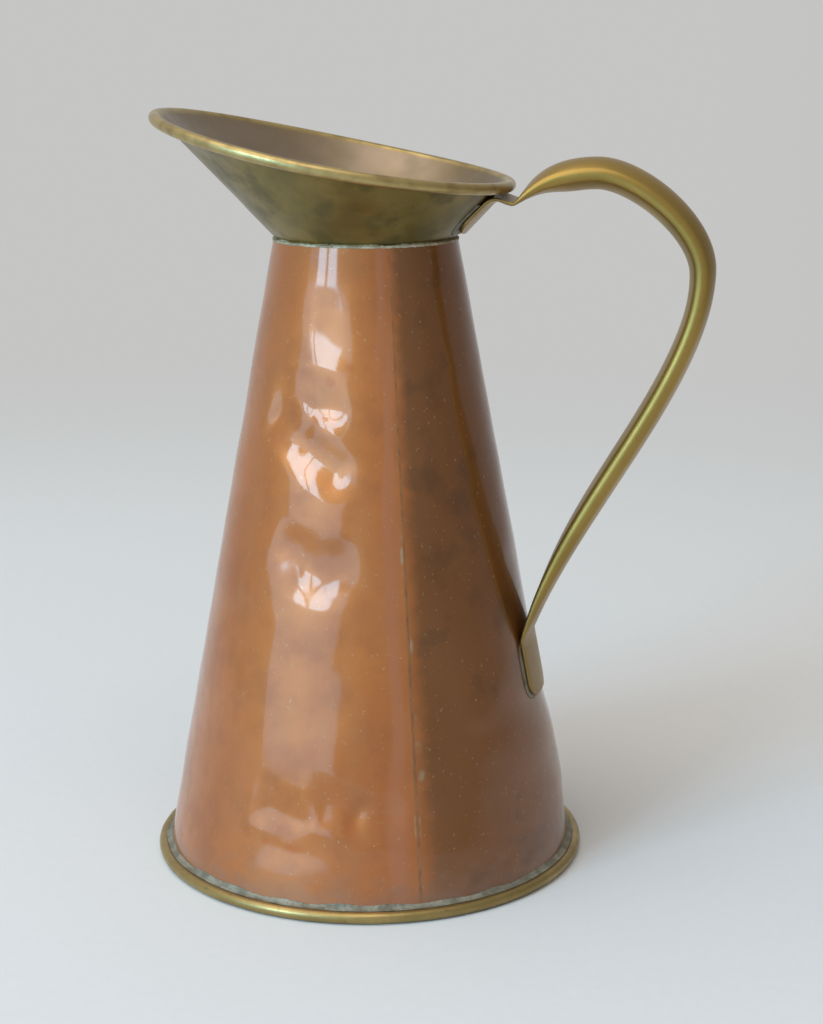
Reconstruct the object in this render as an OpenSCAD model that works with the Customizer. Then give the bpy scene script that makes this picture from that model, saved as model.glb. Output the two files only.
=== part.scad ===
// A tapered copper can with a flared brass pouring lip, a hollow brass handle
// and a brass foot band with a wired edge. All joints are soldered or brazed.
// The origin is the centre of the foot on the surface that the can stands on.
// +Z is up, the handle points to +X and the spout points to -X.

/* [Copper body] */
// Height of the top edge of the copper above the standing surface
neck_height = 219.5; // [170:0.5:280]
// Outer diameter of the copper at its top edge
neck_diameter = 63.6; // [54:0.2:76]
// Outer diameter of the copper at its lower edge
base_diameter = 146; // [120:1:170]
// Thickness of the copper sheet
copper_sheet = 0.9; // [0.6:0.1:1.4]
// Direction of the brazed side seam, counted from the handle
side_seam_angle = -65; // [-120:1:-30]

/* [Foot] */
// Thickness of the brass sheet of the foot band
foot_sheet = 0.8; // [0.5:0.1:1.2]
// Diameter of the wire inside the rolled foot bead
foot_wire_diameter = 2.3; // [1.6:0.1:3.4]
// Height of the strip of the foot band inside the copper
foot_strip_height = 14; // [9:0.5:24]
// Height of the solder fillet above the foot bead's middle
foot_fillet_height = 3.2; // [2.8:0.1:5]
// Direction of the joint in the foot band, counted from the handle
foot_seam_angle = 35; // [10:1:90]

/* [Bottom] */
// Thickness of the bottom sheet
bottom_sheet = 0.9; // [0.6:0.1:1.4]
// Depth of the turned down edge of the bottom, with the sheet
bottom_flange = 7; // [4:0.5:8]
// Distance from the top of the foot strip down to the top of the bottom
bottom_drop = 1.2; // [1:0.1:2]
// Width of the solder fillet on the bottom
bottom_fillet_width = 3; // [2:0.5:5]

/* [Lip] */
// Thickness of the brass sheet of the lip
lip_sheet = 0.8; // [0.5:0.1:1.2]
// Angle between the flared wall and the vertical
lip_flare = 43.6; // [36:0.1:48]
// Depth of the collar that sits inside the copper neck
lip_collar = 8; // [5:0.5:14]
// Height of the rim above the copper at the handle
rim_back_height = 18.9; // [17:0.1:24]
// Height of the rim above the copper at the sides
rim_side_height = 26.6; // [24:0.2:30]
// Height of the rim above the copper at the spout
rim_spout_height = 42.4; // [38:0.2:52]
// Diameter of the wire inside the rolled rim
rim_wire_diameter = 2.1; // [1.6:0.1:2.8]
// Height of the solder bead on the neck joint
neck_bead_height = 1.5; // [1.2:0.1:2.5]
// How far the solder bead laps down over the copper's edge
neck_bead_lap = 0.6; // [0.4:0.1:1.2]
// How far the solder bead on the neck joint stands proud of the copper
neck_bead_proud = 0.4; // [0.2:0.1:0.8]

/* [Handle] */
// Thickness of the brass sheet of the handle
handle_sheet = 0.5; // [0.4:0.05:0.8]
// Width of the hollow grip
handle_width = 20; // [16:0.5:26]
// Depth of the hollow grip at the arch, from its back to its inner side
handle_depth = 10.8; // [8.2:0.1:12]
// Depth of the hollow grip below the bow
handle_stem_depth = 8.2; // [7:0.1:10]
// Distance below the widest point at which that depth is reached
handle_taper_drop = 20; // [10:1:30]
// Radius of the rounded sides of the hollow grip
handle_side = 3; // [2:0.1:3.4]
// Gap where the two edges of the sheet meet along the handle's inner side
handle_seam_gap = 0.3; // [0.2:0.1:1]
// Gap between the two layers of sheet in the flattened straps
strap_fold_gap = 0.2; // [0.2:0.1:0.6]
// Reach of the handle from the axis of the can
handle_reach = 119.4; // [112:0.5:135]
// Distance of the top of the arch from the axis of the can
handle_arch_reach = 79.4; // [74:0.2:86]
// Height of the top of the arch above the copper
handle_arch_height = 28.3; // [26:0.2:38]
// Drop of the widest point of the handle below the top of the copper
handle_bow_drop = 9.2; // [2:0.5:16]
// Height of the point where the handle meets the body
handle_foot_height = 82; // [70:0.5:96]
// Width of the flattened straps at both ends
strap_width = 24; // [16:0.5:28]
// Corner radius of the straps
strap_corner = 6; // [3:0.5:7]
// Angle by which the handle's foot is soldered askew, seen from above
handle_skew = 2.5; // [0:0.5:5]
// Length of the lower strap
low_strap_length = 21; // [14:0.5:30]
// Gap between the crook of the handle and the rolled rim
crook_gap = 2.5; // [1.5:0.1:3]

/* [Fits] */
// Gap between sheets that are soldered face to face
sheet_gap = 0.1; // [0.05:0.05:0.2]
// Thickness of the solder under the straps
solder_film = 0.3; // [0.2:0.1:0.8]
// How far the solder shows round the straps
solder_margin = 1.2; // [0.8:0.1:3]
// Angle that the filler of a sheet seam takes up
seam_spread = 1; // [0.6:0.1:1.6]

/* [Hidden] */

// Facets of turned pieces, and steps of the swept ones
turned_facets = 180;
rim_steps = 84;
roll_steps = 10;
wire_sides = 8;

// Colours of the metals
copper_colour = [0.62, 0.33, 0.18];
brass_colour = [0.66, 0.52, 0.26];
spelter_colour = [0.70, 0.50, 0.24];
solder_colour = [0.68, 0.68, 0.62];
tinned_colour = [0.60, 0.58, 0.54];
iron_colour = [0.30, 0.29, 0.28];

// The copper stands on the flat of the foot band
copper_foot = foot_sheet + sheet_gap;
body_slope = (base_diameter - neck_diameter) / 2 / (neck_height - copper_foot);
body_lean = atan(body_slope);
copper_across = copper_sheet / cos(body_lean);

// The foot band runs under the copper and curls up round its wire
foot_roll_in = foot_wire_diameter / 2 + sheet_gap;
foot_roll_out = foot_roll_in + foot_sheet;
foot_roll_x = body_r(foot_roll_out) + sheet_gap + foot_roll_out;
foot_roll_start = 145;

// The bottom sits inside the strip of the foot band
bottom_top = foot_strip_height - bottom_drop;
bottom_corner = 1.6;

// The lip turns out of its collar just above the copper's edge
lip_slope = tan(lip_flare);
lip_corner_z = neck_height + 3 * sheet_gap;
lip_corner_r = body_r(lip_corner_z) - copper_across - sheet_gap;
lip_out = [cos(lip_flare), -sin(lip_flare)];
lip_up = [sin(lip_flare), cos(lip_flare)];
rim_roll_in = rim_wire_diameter / 2 + sheet_gap;
rim_roll_out = rim_roll_in + lip_sheet;
rim_roll_end = -110;

// The rim follows a shallow parabola seen from the side
rim_back_x = lip_r(neck_height + rim_back_height);
rim_spout_x = -lip_r(neck_height + rim_spout_height);
rim_back_rise = (rim_back_height - rim_side_height) / rim_back_x;
rim_spout_rise = (rim_spout_height - rim_side_height) / rim_spout_x;
rim_bend = (rim_back_rise - rim_spout_rise) / (rim_back_x - rim_spout_x);
rim_tilt = rim_back_rise - rim_bend * rim_back_x;

// A strap is the handle's tube, flattened to two layers of its sheet
strap_depth = 2 * handle_sheet + strap_fold_gap;
strap_side = strap_depth / 2 - strap_fold_gap / 10;

// Places of the handle's centre line, in the plane of symmetry
strap_lift = solder_film + sheet_gap;
body_along = [body_slope, -1] / norm([body_slope, -1]);
rim_back_point = [rim_back_x, neck_height + rim_back_height];
rim_back_roll = rim_back_point + rim_roll_in * lip_out;
crook_point = rim_back_roll + [2.6, -rim_roll_out - crook_gap];
top_strap_from = strap_on_lip(lip_corner_z + 3);
top_strap_to = strap_on_lip(crook_point[1] - 0.7);
arch_point = [handle_arch_reach, neck_height + handle_arch_height];
bow_point = [handle_reach, neck_height - handle_bow_drop];
low_strap_from = strap_on_body(handle_foot_height);
low_strap_to = low_strap_from + low_strap_length * body_along;
foot_approach = [sin(21), cos(21)];

function body_r(z) = base_diameter / 2 - body_slope * (z - copper_foot);
function copper_in_r(z) = body_r(z) - copper_across;
function strip_in_r(z) = copper_in_r(z) - sheet_gap - foot_sheet;
function lip_r(z) = lip_corner_r + lip_slope * (z - lip_corner_z);
function clamp01(t) = max(0, min(1, t));
function smooth(t) = clamp01(t) * clamp01(t) * (3 - 2 * clamp01(t));
function mix(a, b, t) = a + (b - a) * t;
function unit(v) = v / norm(v);
function bezier(a, b, c, d, t) =
    pow(1 - t, 3) * a + 3 * pow(1 - t, 2) * t * b + 3 * (1 - t) * t * t * c + t * t * t * d;

// A point of the lip's outer face in the plane of symmetry, lifted for solder
function strap_on_lip(z) = [lip_r(z), z] + strap_lift * lip_out;

// A point of the low strap's outer face in the plane of symmetry
function strap_on_body(z) =
    [body_r(z), z] + (strap_lift + sheet_gap / 2 + strap_depth) * [cos(body_lean), sin(body_lean)];

// Radius of the rim on the outer face of the flare, in direction q
function rim_r(q) =
    let (a = rim_side_height - (lip_corner_z - neck_height) + lip_corner_r / lip_slope)
    let (b = 1 / lip_slope - rim_tilt * cos(q))
    2 * a / (b + sqrt(b * b - 4 * rim_bend * cos(q) * cos(q) * a));
function rim_point(q) =
    [rim_r(q) * cos(q), rim_r(q) * sin(q), lip_corner_z + (rim_r(q) - lip_corner_r) / lip_slope];

// Directions square to the rim: away from the flare, and up along it
function rim_out(q) = [cos(q) * lip_out[0], sin(q) * lip_out[0], lip_out[1]];
function rim_up(q) = unit(cross(rim_out(q), rim_point(q + 0.5) - rim_point(q - 0.5)));
function rim_roll_point(q, radius, turn) =
    rim_point(q) + (rim_roll_in + radius * cos(turn)) * rim_out(q) + radius * sin(turn) * rim_up(q);

// One ring of the lip's sheet: its outer face up and round the wire, and back
function lip_ring(q) = concat(
    [spin(q, lip_corner_r + body_slope * lip_collar, lip_corner_z - lip_collar)],
    [spin(q, lip_corner_r, lip_corner_z)],
    [for (i = [0:roll_steps]) rim_roll_point(q, rim_roll_in, mix(180, rim_roll_end, i / roll_steps))],
    [for (i = [roll_steps:-1:0]) rim_roll_point(q, rim_roll_out, mix(180, rim_roll_end, i / roll_steps))],
    [spin(q, lip_corner_r - lip_sheet / cos(body_lean), lip_inner_corner_z)],
    [spin(q, lip_corner_r - lip_sheet / cos(body_lean) + body_slope * lip_collar, lip_corner_z - lip_collar)]);
lip_inner_corner_z = lip_corner_z + lip_sheet * tan((lip_flare + body_lean) / 2);
function spin(q, r, z) = [r * cos(q), r * sin(q), z];

// One ring of the rim wire
function wire_ring(q) =
    [for (i = [0:wire_sides - 1]) rim_roll_point(q, rim_wire_diameter / 2, 360 * i / wire_sides)];

// Width of a strap at a distance s from its rounded end
function strap_span(s) = s >= strap_corner ? strap_width :
    strap_width - 2 * strap_corner + 2 * sqrt(strap_corner * strap_corner - pow(strap_corner - s, 2));

// Sagitta of a strap of width w that is bent round a cone
function strap_sag(w, r, lean) = w * w * cos(lean) / r / 8;

// The handle from strap to strap. Each row gives x and z of the back of the
// section, its width and depth, the radius of its sides and the bend of the
// whole section round a cone
top_strap_length = norm(top_strap_to - top_strap_from);
top_strap = [for (s = [0, 0.5, 1.6, 3.4, 6, top_strap_length])
    let (p = top_strap_from + (top_strap_to - top_strap_from) * s / top_strap_length)
    [p[0], p[1], strap_span(s), strap_depth, strap_side, -strap_sag(strap_span(s), p[0], lip_flare)]];
crook = [for (i = [1:8])
    let (t = i / 8)
    let (p = bezier(top_strap_to, top_strap_to + 4.8 * lip_up, crook_point - [3, 0], crook_point, t))
    [p[0], p[1], strap_width, strap_depth, strap_side, -mix(strap_sag(strap_width, p[0], lip_flare), 0, t)]];
arch_rise = [for (i = [1:12])
    let (t = i / 12)
    let (p = bezier(crook_point, crook_point + [2.4, 0], arch_point - [23.4, 0], arch_point, t))
    let (open = smooth(t / 0.9))
    [p[0], p[1], mix(strap_width, handle_width, smooth(t)), mix(strap_depth, handle_depth, open),
        mix(strap_side, handle_side, open), 0]];
function grip_depth(z) =
    let (low = bow_point[1] - handle_taper_drop)
    mix(handle_stem_depth, handle_depth, smooth((z - low) / (arch_point[1] - low)));
bow = [for (i = [1:11])
    let (p = bezier(arch_point, arch_point + [15.7, 0], bow_point + [0, 18.2], bow_point, i / 11))
    [p[0], p[1], handle_width, grip_depth(p[1]), handle_side, 0]];
stem = [for (i = [1:20])
    let (t = i / 20)
    let (p = bezier(bow_point, bow_point - [0, 37.5], low_strap_from + 48 * foot_approach, low_strap_from, t))
    let (flat = pow(clamp01(2 * t - 1), 2.6))
    [p[0], p[1], mix(handle_width, strap_width, flat), mix(grip_depth(p[1]), strap_depth, flat),
        mix(handle_side, strap_side, flat), flat * strap_sag(strap_width, p[0], body_lean)]];
low_strap = [for (s = [low_strap_length - 3.5, 6, 3.4, 1.6, 0.5, 0])
    let (p = low_strap_to - s * body_along)
    [p[0], p[1], strap_span(s), strap_depth, strap_side, strap_sag(strap_span(s), p[0], body_lean)]];
handle_rows = concat(top_strap, crook, arch_rise, bow, stem, low_strap);

// Half of the section's outline, from the middle of its back round one side to
// the seam: two shallow arcs and a round side between them. inset is the depth
// of the outline below the sheet's outer face
function section_half(row, inset) =
    let (b = row[3] / 2)
    let (r = row[4])
    let (side_x = row[2] / 2 - r)
    let (back_r = (side_x * side_x - pow(b - r, 2)) / (2 * (b - r)) + b)
    let (turn = asin(side_x / (back_r - r)))
    let (seam = asin(handle_seam_gap / 2 / (back_r - inset)))
    concat(
        [for (i = [0:3]) arc_point([0, back_r], back_r - inset, turn * i / 3)],
        [for (i = [1:6]) arc_point([side_x, b], r - inset, mix(turn, 180 - turn, i / 6))],
        [for (i = [1:2]) arc_point([0, 2 * b - back_r], back_r - inset, mix(180 - turn, 180 - seam, i / 2))]);
function arc_point(middle, r, turn) = middle + r * [sin(turn), -cos(turn)];

// The outline from one edge of the seam round to the other, bent with its cone
function section_outline(row, inset) =
    let (half = section_half(row, inset))
    let (n = len(half) - 1)
    [for (i = [-n:n])
        let (p = half[abs(i)])
        [sign(i) * p[0], p[1] + row[5] * pow(2 * p[0] / row[2], 2)]];

// Turn of a ring of the handle about the can's axis, at height z
function handle_turn(z) =
    -handle_skew * smooth((bow_point[1] - z) / (bow_point[1] - low_strap_from[1]));

// One ring of the handle, set square to its centre line
function handle_ring(i) =
    let (row = handle_rows[i])
    let (before = handle_rows[max(i - 1, 0)])
    let (after = handle_rows[min(i + 1, len(handle_rows) - 1)])
    let (run = unit([after[0] - before[0], after[1] - before[1]]))
    let (outer = section_outline(row, 0))
    let (inner = section_outline(row, handle_sheet))
    let (turn = handle_turn(row[1]))
    [for (p = concat(outer, [for (j = [len(inner) - 1:-1:0]) inner[j]]))
        let (x = row[0] + p[1] * run[1])
        [x * cos(turn) - p[0] * sin(turn), x * sin(turn) + p[0] * cos(turn), row[1] - p[1] * run[0]]];

// Joins rings of equal length into one closed surface. An open run of rings
// gets end faces across the sheet
module skin(rings, closed = false) {
    n = len(rings);
    m = len(rings[0]);
    last = closed ? n - 1 : n - 2;
    walls = [for (i = [0:last], j = [0:m - 1])
        let (a = i * m + j)
        let (b = i * m + (j + 1) % m)
        let (c = (i + 1) % n * m + (j + 1) % m)
        let (d = (i + 1) % n * m + j)
        each [[a, b, c], [a, c, d]]];
    e = (n - 1) * m;
    ends = [for (j = [0:m / 2 - 2])
        each [[j, m - 2 - j, j + 1], [j, m - 1 - j, m - 2 - j],
            [e + j, e + j + 1, e + m - 2 - j], [e + j, e + m - 2 - j, e + m - 1 - j]]];
    polyhedron(points = [for (r = rings) each r], faces = closed ? walls : concat(walls, ends));
}

// A turned sheet, left open by the angle of one seam
module turned_with_seam(at) {
    rotate([0, 0, at + seam_spread / 2])
        rotate_extrude(angle = 360 - seam_spread, $fn = turned_facets)
            children();
}

// The filler of that seam
module turned_seam(at) {
    rotate([0, 0, at - seam_spread / 2])
        rotate_extrude(angle = seam_spread, $fn = turned_facets)
            children();
}

module body_profile() {
    polygon([
        [copper_in_r(copper_foot), copper_foot],
        [body_r(copper_foot), copper_foot],
        [body_r(neck_height), neck_height],
        [copper_in_r(neck_height), neck_height]]);
}

// The foot band's strip, its flat under the copper, and the curl round the wire
module foot_profile() {
    polygon([
        [strip_in_r(0), 0],
        [foot_roll_x, 0],
        [foot_roll_x, foot_sheet],
        [copper_in_r(foot_sheet) - sheet_gap, foot_sheet],
        [copper_in_r(foot_strip_height) - sheet_gap, foot_strip_height],
        [strip_in_r(foot_strip_height), foot_strip_height]]);
    translate([foot_roll_x, foot_roll_out])
        difference() {
            circle(r = foot_roll_out, $fn = 48);
            circle(r = foot_roll_in, $fn = 48);
            polygon([
                [0, 0],
                3 * foot_roll_out * [cos(foot_roll_start), sin(foot_roll_start)],
                [-3 * foot_roll_out, 0],
                [-3 * foot_roll_out, -3 * foot_roll_out],
                [0, -3 * foot_roll_out]]);
        }
}

module body() {
    color(copper_colour)
        turned_with_seam(side_seam_angle)
            body_profile();
}

module body_seam() {
    color(spelter_colour)
        turned_seam(side_seam_angle)
            body_profile();
}

// A disc with its edge turned down, which fits inside the foot strip
module bottom() {
    low = bottom_top - bottom_flange;
    edge_r = strip_in_r(bottom_top) - sheet_gap;
    low_r = strip_in_r(low) - sheet_gap;
    color(tinned_colour)
        rotate_extrude($fn = turned_facets)
            difference() {
                polygon([
                    [0, low],
                    [low_r, low],
                    [edge_r, bottom_top - bottom_corner],
                    [edge_r - bottom_corner / 3, bottom_top - bottom_corner / 3],
                    [edge_r - bottom_corner, bottom_top],
                    [0, bottom_top]]);
                polygon([
                    [-1, low - 1],
                    [low_r - bottom_sheet + body_slope, low - 1],
                    [edge_r - bottom_sheet, bottom_top - bottom_corner],
                    [edge_r - bottom_corner, bottom_top - bottom_sheet],
                    [-1, bottom_top - bottom_sheet]]);
            }
}

module bottom_solder() {
    wall_r = strip_in_r(bottom_top) - sheet_gap;
    color(solder_colour)
        rotate_extrude($fn = turned_facets)
            polygon([
                [wall_r - bottom_fillet_width, bottom_top + sheet_gap / 2],
                [wall_r - bottom_corner, bottom_top + sheet_gap / 2],
                [wall_r - sheet_gap / 2, bottom_top - bottom_corner / 3],
                [strip_in_r(foot_strip_height) - sheet_gap / 2, foot_strip_height],
                [wall_r - bottom_fillet_width / 2, bottom_top + bottom_drop / 3]]);
}

module foot_band() {
    color(brass_colour)
        turned_with_seam(foot_seam_angle)
            foot_profile();
}

module foot_seam() {
    color(spelter_colour)
        turned_seam(foot_seam_angle)
            foot_profile();
}

module foot_wire() {
    color(iron_colour)
        rotate_extrude($fn = turned_facets)
            translate([foot_roll_x, foot_roll_out])
                circle(r = foot_wire_diameter / 2, $fn = 32);
}

// Solder in the groove between the foot bead and the copper
module foot_solder() {
    top = foot_roll_out + foot_fillet_height;
    color(solder_colour)
        rotate_extrude($fn = turned_facets)
            difference() {
                polygon([
                    [body_r(foot_roll_out) + sheet_gap / 2, foot_roll_out],
                    [foot_roll_x - foot_roll_out / 3, foot_roll_out],
                    [foot_roll_x - foot_roll_out / 3, 2 * foot_roll_out],
                    [body_r(top) + 3 * sheet_gap, top],
                    [body_r(top) + sheet_gap / 2, top]]);
                translate([foot_roll_x, foot_roll_out])
                    circle(r = foot_roll_out + sheet_gap / 2, $fn = 48);
            }
}

// The flared lip, open at the back by the angle of its seam
module lip() {
    half = seam_spread / 2;
    color(brass_colour)
        skin([for (i = [0:rim_steps]) lip_ring(mix(half, 360 - half, i / rim_steps))]);
}

module lip_seam() {
    half = seam_spread / 2;
    color(spelter_colour)
        skin([lip_ring(-half), lip_ring(half)]);
}

module lip_wire() {
    color(iron_colour)
        skin([for (i = [0:rim_steps - 1]) wire_ring(360 * i / rim_steps)], closed = true);
}

// Solder in the groove between the copper's top edge and the flare
module neck_solder() {
    low = neck_height + sheet_gap / 2;
    lap = neck_height - neck_bead_lap;
    top = low + neck_bead_height;
    near = sheet_gap;
    color(solder_colour)
        rotate_extrude($fn = turned_facets)
            polygon([
                [lip_corner_r + near, low],
                [body_r(low) + near / 2, low],
                [body_r(lap) + near / 2, lap],
                [body_r(low) + neck_bead_proud, low],
                [mix(body_r(low), lip_r(top), 0.6) + neck_bead_proud, mix(low, top, 0.55)],
                [lip_r(top) + near, top],
                [lip_r(lip_corner_z) + near, lip_corner_z]]);
}

module handle() {
    color(brass_colour)
        skin([for (i = [0:len(handle_rows) - 1]) handle_ring(i)]);
}

// The outline of the solder round a strap, across and up
module strap_outline(low, high) {
    half = strap_width / 2 + solder_margin - strap_corner;
    hull() {
        for (side = [-half, half], z = [low - solder_margin + strap_corner, high - strap_corner])
            translate([side, z])
                circle(r = strap_corner, $fn = 32);
    }
}

// Solder between the top strap and the flare
module handle_top_solder() {
    low = top_strap_from[1];
    high = top_strap_to[1];
    near = sheet_gap / 2;
    color(solder_colour)
        intersection() {
            rotate([0, 0, -45])
                rotate_extrude(angle = 90, $fn = turned_facets)
                    polygon([
                        [lip_r(lip_corner_z + 1.8) + near, lip_corner_z + 1.8],
                        [lip_r(lip_corner_z + 1.8) + near + solder_film / lip_out[0], lip_corner_z + 1.8],
                        [lip_r(high) + near + solder_film / lip_out[0], high],
                        [lip_r(high) + near, high]]);
            rotate([90, 0, 90])
                linear_extrude(rim_back_x + 20)
                    strap_outline(low, high + strap_corner);
        }
}

// Solder between the low strap and the body
module handle_low_solder() {
    low = low_strap_to[1];
    high = low_strap_from[1];
    near = sheet_gap / 2;
    color(solder_colour)
        rotate([0, 0, -handle_skew])
            intersection() {
                rotate([0, 0, -30])
                    rotate_extrude(angle = 60, $fn = turned_facets)
                        polygon([
                            [body_r(low - solder_margin) + near, low - solder_margin],
                            [body_r(low - solder_margin) + near + solder_film, low - solder_margin],
                            [body_r(high) + near + solder_film, high],
                            [body_r(high) + near, high]]);
                rotate([90, 0, 90])
                    linear_extrude(base_diameter)
                        strap_outline(low, high);
            }
}

body();
body_seam();
bottom();
bottom_solder();
foot_band();
foot_wire();
foot_seam();
foot_solder();
lip();
lip_wire();
lip_seam();
neck_solder();
handle();
handle_top_solder();
handle_low_solder();
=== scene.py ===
import math

import bpy
import numpy as np
from mathutils import Matrix, Vector


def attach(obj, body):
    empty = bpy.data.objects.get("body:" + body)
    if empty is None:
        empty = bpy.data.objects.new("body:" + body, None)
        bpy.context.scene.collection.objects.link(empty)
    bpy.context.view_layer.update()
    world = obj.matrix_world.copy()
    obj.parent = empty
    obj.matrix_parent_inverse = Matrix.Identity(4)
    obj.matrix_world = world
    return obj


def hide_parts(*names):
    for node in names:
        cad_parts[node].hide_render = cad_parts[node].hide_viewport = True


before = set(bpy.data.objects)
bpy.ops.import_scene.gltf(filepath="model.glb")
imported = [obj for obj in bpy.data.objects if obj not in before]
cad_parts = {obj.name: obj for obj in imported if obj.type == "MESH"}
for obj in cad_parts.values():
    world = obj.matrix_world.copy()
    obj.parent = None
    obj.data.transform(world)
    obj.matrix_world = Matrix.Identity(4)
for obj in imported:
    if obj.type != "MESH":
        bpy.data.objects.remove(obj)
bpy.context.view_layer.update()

# ---------------------------------------------------------------------------
# Sizes, in millimetres and degrees. The origin is the middle of the foot, +Z
# is up, the handle points to +X and the spout to -X.

# The copper cone
NECK_HEIGHT = 219.5
NECK_R = 31.8
BASE_R = 73.0
COPPER_SHEET = 0.9
SEAM_AT = -65.0
SEAM_SPREAD = 1.0

# The foot band and the solder above it
FOOT_SHEET = 0.8
FOOT_WIRE_R = 1.15
FOOT_STRIP = 14.0
FOOT_FILLET = 3.2
FOOT_SEAM_AT = 35.0
FOOT_ROLL_START = 145.0

# The lip
LIP_SHEET = 0.8
LIP_FLARE = math.radians(43.6)
LIP_COLLAR = 8.0
RIM_BACK = 18.9
RIM_SIDE = 26.6
RIM_SPOUT = 42.4
RIM_WIRE_R = 1.05
RIM_ROLL_END = -110.0

# The handle
HANDLE_SHEET = 0.5
HANDLE_WIDTH = 20.0
HANDLE_DEPTH = 10.8
STEM_DEPTH = 8.2
TAPER_DROP = 20.0
HANDLE_SIDE = 3.0
HANDLE_SEAM = 0.3
FOLD_GAP = 0.2
HANDLE_REACH = 119.4
ARCH_REACH = 79.4
ARCH_HEIGHT = 28.3
BOW_DROP = 9.2
HANDLE_FOOT = 82.0
STRAP_WIDTH = 24.0
STRAP_CORNER = 6.0
HANDLE_SKEW = 2.5
LOW_STRAP = 21.0
CROOK_GAP = 2.5
STRAP_DEPTH = 2 * HANDLE_SHEET + FOLD_GAP
STRAP_SIDE = STRAP_DEPTH / 2 - FOLD_GAP / 10

# Gaps between soldered sheets
GAP = 0.1
FILM = 0.3

FOOT_Z = FOOT_SHEET + GAP
SLOPE = (BASE_R - NECK_R) / (NECK_HEIGHT - FOOT_Z)
LEAN = math.atan(SLOPE)
COPPER_ACROSS = COPPER_SHEET / math.cos(LEAN)
FOOT_IN = FOOT_WIRE_R + GAP
FOOT_OUT = FOOT_IN + FOOT_SHEET


def body_r(z):
    return BASE_R - SLOPE * (z - FOOT_Z)


FOOT_ROLL_X = body_r(FOOT_OUT) + GAP + FOOT_OUT
CORNER_Z = NECK_HEIGHT + 3 * GAP
CORNER_R = body_r(CORNER_Z) - COPPER_ACROSS - GAP
LIP_SLOPE = math.tan(LIP_FLARE)
LIP_OUT = np.array([math.cos(LIP_FLARE), -math.sin(LIP_FLARE)])
LIP_UP = np.array([math.sin(LIP_FLARE), math.cos(LIP_FLARE)])
RIM_IN = RIM_WIRE_R + GAP
RIM_OUT = RIM_IN + LIP_SHEET


def lip_r(z):
    return CORNER_R + LIP_SLOPE * (z - CORNER_Z)


def smooth(t):
    t = np.clip(t, 0.0, 1.0)
    return t * t * (3 - 2 * t)


def mix(a, b, t):
    return a + (b - a) * t


def unit(v):
    return v / np.linalg.norm(v, axis=-1, keepdims=True)


def spin(q, r, z):
    return np.stack([r * np.cos(q), r * np.sin(q), z + 0 * q], axis=-1)


def uneven(seed, turn, height, most_around, wave, count=28):
    """Gentle unevenness of about -1 to 1, the same at 0 and 360 degrees."""
    rng = np.random.default_rng(seed)
    total = 0.0
    for _ in range(count):
        around = rng.integers(-most_around, most_around + 1)
        up = rng.normal() * 2 * math.pi / wave
        total = total + np.cos(around * turn + up * height + rng.uniform(0, 2 * math.pi))
    return total / math.sqrt(count) / 1.4


# ---------------------------------------------------------------------------
# Meshes

def piece(name, points, faces, replaced, materials, face_slots=None):
    """A mesh in metres from points in millimetres, as one piece of the can."""
    points = np.asarray(points, dtype=float).reshape(-1, 3) * 0.001
    faces = np.asarray(faces)
    a, b, c = points[faces[:, 0]], points[faces[:, 1]], points[faces[:, 2]]
    d = points[faces[:, 3]]
    volume = np.einsum("ij,ij->i", a, np.cross(b, c)).sum()
    volume += np.einsum("ij,ij->i", a, np.cross(c, d)).sum()
    if volume < 0:
        faces = faces[:, ::-1]
    mesh = bpy.data.meshes.new(name)
    mesh.from_pydata(points.tolist(), [], faces.tolist())
    mesh.polygons.foreach_set("use_smooth", np.ones(len(faces), dtype=bool))
    mesh.set_sharp_from_angle(angle=math.radians(38))
    for material in materials:
        mesh.materials.append(material)
    if face_slots is not None:
        mesh.polygons.foreach_set("material_index", np.asarray(face_slots, dtype=np.int32))
    mesh.update()
    made = bpy.data.objects.new(name, mesh)
    bpy.context.scene.collection.objects.link(made)
    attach(made, "root")
    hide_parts(replaced)
    return made


def skin_faces(n, m, closed):
    """Quads that join n rings of m points. An open run gets its end faces,
    which join point j with point m - 1 - j."""
    i = np.arange(n if closed else n - 1)[:, None]
    j = np.arange(m)[None, :]
    k = (i + 1) % n
    next_j = (j + 1) % m
    walls = np.stack([i * m + j, i * m + next_j, k * m + next_j, k * m + j], axis=-1).reshape(-1, 4)
    if closed:
        return walls
    j = np.arange(m // 2 - 1)
    first = np.stack([j, m - 1 - j, m - 2 - j, j + 1], axis=-1)
    last = first[:, ::-1] + (n - 1) * m
    return np.concatenate([walls, first, last])


def mark(made, name, values):
    """Stores one value per point, which the material reads."""
    kept = made.data.attributes.new(name, "FLOAT", "POINT")
    kept.data.foreach_set("value", np.asarray(values, dtype=np.float32).ravel())


# ---------------------------------------------------------------------------
# The dents of the copper

def wrap(turn):
    """The same angle between -180 and 180 degrees."""
    return (turn + 180.0) % 360.0 - 180.0


def crease(turn, z, ends, depth, low, high, reach):
    """A creased dent along a line of two points (degrees, height). low and high
    are the widths of its walls below and above, reach the length of its run-out."""
    (t0, z0), (t1, z1) = ends
    r = body_r((z0 + z1) / 2)
    u = np.radians(wrap(turn - t0)) * r
    v = z - z0
    along = np.array([math.radians(t1 - t0) * r, z1 - z0])
    length = np.hypot(*along)
    along = along / length
    s = u * along[0] + v * along[1]
    side = -u * along[1] + v * along[0]
    fall = np.where(side < 0, -side / low, side / high)
    soft = np.sqrt(fall * fall + 0.012) - 0.11
    wall = smooth(1.0 - np.clip(soft, 0, 1)) * 0.45 + (1.0 - np.clip(soft, 0, 1)) * 0.55
    ends_off = smooth((s + reach) / (2 * reach)) * smooth((length + reach - s) / (2 * reach))
    return -depth * wall * ends_off


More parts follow.
